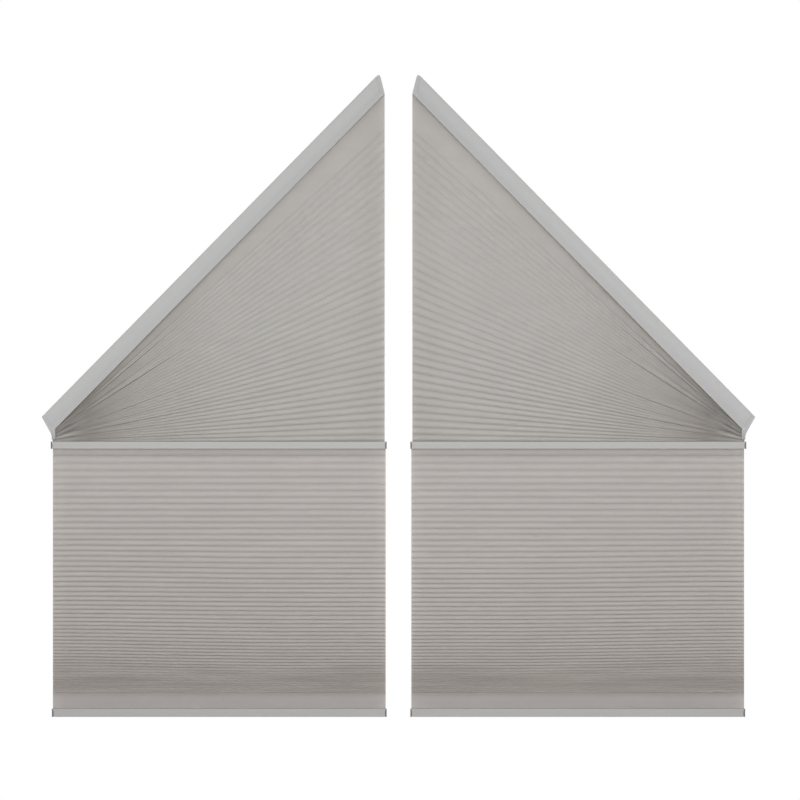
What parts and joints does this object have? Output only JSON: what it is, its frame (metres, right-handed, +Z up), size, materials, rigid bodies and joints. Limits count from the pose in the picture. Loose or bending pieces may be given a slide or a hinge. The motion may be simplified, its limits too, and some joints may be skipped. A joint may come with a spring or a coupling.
{
  "type": "cellular blind",
  "caption": "Angled cellular blind in mirrored halves: a fixed honeycomb fan under each sloping headrail, and below it a cordless honeycomb section that lifts.",
  "frame": {"origin": "on the wall, midway between the two blinds, level with the undersides of the lowered bottom rails", "axes": "+X across the wall to the right as seen from the room, +Y into the wall, +Z up"},
  "size_m": [1.3908, 0.048, 1.2517],
  "materials": {
    "rail_paint": "satin",
    "rail_cap": "satin",
    "end_cap": "matte",
    "honeycomb": "matte",
    "strip": "satin",
    "bracket_steel": "satin",
    "motor_plastic": "matte",
    "drum_plastic": "satin",
    "spring_steel": "satin"
  },
  "bodies": {
    "fixed": {"left_headrail": "rail_paint", "left_headrail_peak_cap": "rail_cap", "left_headrail_corner_cap": "rail_cap", "left_fan_head_strip": "strip", "left_upper_bracket": "bracket_steel", "left_lower_bracket": "bracket_steel", "left_fan_fabric": "honeycomb", "left_hub_pin": "strip", "left_fan_foot_strip": "strip", "left_middle_rail": "rail_paint", "left_middle_inner_cap": "end_cap", "left_middle_outer_cap": "end_cap", "left_middle_inner_bracket": "bracket_steel", "left_middle_outer_bracket": "bracket_steel", "left_drop_head_strip": "strip", "left_motor_case": "motor_plastic", "left_motor_lid": "motor_plastic", "left_inner_cradle": "motor_plastic", "left_outer_cradle": "motor_plastic", "left_drop_fabric": "honeycomb", "right_headrail": "rail_paint", "right_headrail_peak_cap": "rail_cap", "right_headrail_corner_cap": "rail_cap", "right_fan_head_strip": "strip", "right_upper_bracket": "bracket_steel", "right_lower_bracket": "bracket_steel", "right_fan_fabric": "honeycomb", "right_hub_pin": "strip", "right_fan_foot_strip": "strip", "right_middle_rail": "rail_paint", "right_middle_inner_cap": "end_cap", "right_middle_outer_cap": "end_cap", "right_middle_inner_bracket": "bracket_steel", "right_middle_outer_bracket": "bracket_steel", "right_drop_head_strip": "strip", "right_motor_case": "motor_plastic", "right_motor_lid": "motor_plastic", "right_inner_cradle": "motor_plastic", "right_outer_cradle": "motor_plastic", "right_drop_fabric": "honeycomb"},
    "left_bottom": {"left_bottom_rail": "rail_paint", "left_bottom_inner_cap": "end_cap", "left_bottom_outer_cap": "end_cap", "left_inner_anchor": "motor_plastic", "left_outer_anchor": "motor_plastic", "left_tail_panel": "honeycomb"},
    "left_cord_drum": {"left_cord_drum": "drum_plastic"},
    "left_spring_drum": {"left_spring_drum": "spring_steel"},
    "left_inner_pulley": {"left_inner_pulley": "drum_plastic"},
    "left_outer_pulley": {"left_outer_pulley": "drum_plastic"},
    "right_bottom": {"right_bottom_rail": "rail_paint", "right_bottom_inner_cap": "end_cap", "right_bottom_outer_cap": "end_cap", "right_inner_anchor": "motor_plastic", "right_outer_anchor": "motor_plastic", "right_tail_panel": "honeycomb"},
    "right_cord_drum": {"right_cord_drum": "drum_plastic"},
    "right_spring_drum": {"right_spring_drum": "spring_steel"},
    "right_inner_pulley": {"right_inner_pulley": "drum_plastic"},
    "right_outer_pulley": {"right_outer_pulley": "drum_plastic"}
  },
  "joints": [
    {"name": "left_lift", "type": "slide", "parent": "fixed", "child": "left_bottom", "axis": [0, 0, 1], "range_m": [0, 0.4], "deforming": ["left_drop_fabric"]},
    {"name": "left_cord_drum_spin", "type": "hinge", "parent": "fixed", "child": "left_cord_drum", "pos_m": [-0.3365, -0.028, 0.5288], "axis": [0, 0, 1], "range_deg": [-2550, 0]},
    {"name": "left_spring_drum_spin", "type": "hinge", "parent": "fixed", "child": "left_spring_drum", "pos_m": [-0.3625, -0.028, 0.5288], "axis": [0, 0, 1], "range_deg": [0, 2295]},
    {"name": "left_inner_pulley_spin", "type": "hinge", "parent": "fixed", "child": "left_inner_pulley", "pos_m": [-0.1567, -0.028, 0.529], "axis": [0, 1, 0], "range_deg": [-13485, 0]},
    {"name": "left_outer_pulley_spin", "type": "hinge", "parent": "fixed", "child": "left_outer_pulley", "pos_m": [-0.5423, -0.028, 0.529], "axis": [0, 1, 0], "range_deg": [0, 13485]},
    {"name": "right_lift", "type": "slide", "parent": "fixed", "child": "right_bottom", "axis": [0, 0, 1], "range_m": [0, 0.4], "deforming": ["right_drop_fabric"]},
    {"name": "right_cord_drum_spin", "type": "hinge", "parent": "fixed", "child": "right_cord_drum", "pos_m": [0.3365, -0.028, 0.5288], "axis": [0, 0, 1], "range_deg": [0, 2550]},
    {"name": "right_spring_drum_spin", "type": "hinge", "parent": "fixed", "child": "right_spring_drum", "pos_m": [0.3625, -0.028, 0.5288], "axis": [0, 0, 1], "range_deg": [-2295, 0]},
    {"name": "right_inner_pulley_spin", "type": "hinge", "parent": "fixed", "child": "right_inner_pulley", "pos_m": [0.1567, -0.028, 0.529], "axis": [0, 1, 0], "range_deg": [0, 13485]},
    {"name": "right_outer_pulley_spin", "type": "hinge", "parent": "fixed", "child": "right_outer_pulley", "pos_m": [0.5423, -0.028, 0.529], "axis": [0, 1, 0], "range_deg": [-13485, 0]}
  ],
  "couplings": [
    {"joint": "left_cord_drum_spin", "follows": "left_lift", "rad_per_m": -111.11},
    {"joint": "left_spring_drum_spin", "follows": "left_lift", "rad_per_m": 100},
    {"joint": "left_inner_pulley_spin", "follows": "left_lift", "rad_per_m": -588.24},
    {"joint": "left_outer_pulley_spin", "follows": "left_lift", "rad_per_m": 588.24},
    {"joint": "right_cord_drum_spin", "follows": "right_lift", "rad_per_m": 111.11},
    {"joint": "right_spring_drum_spin", "follows": "right_lift", "rad_per_m": -100},
    {"joint": "right_inner_pulley_spin", "follows": "right_lift", "rad_per_m": 588.24},
    {"joint": "right_outer_pulley_spin", "follows": "right_lift", "rad_per_m": -588.24}
  ]
}
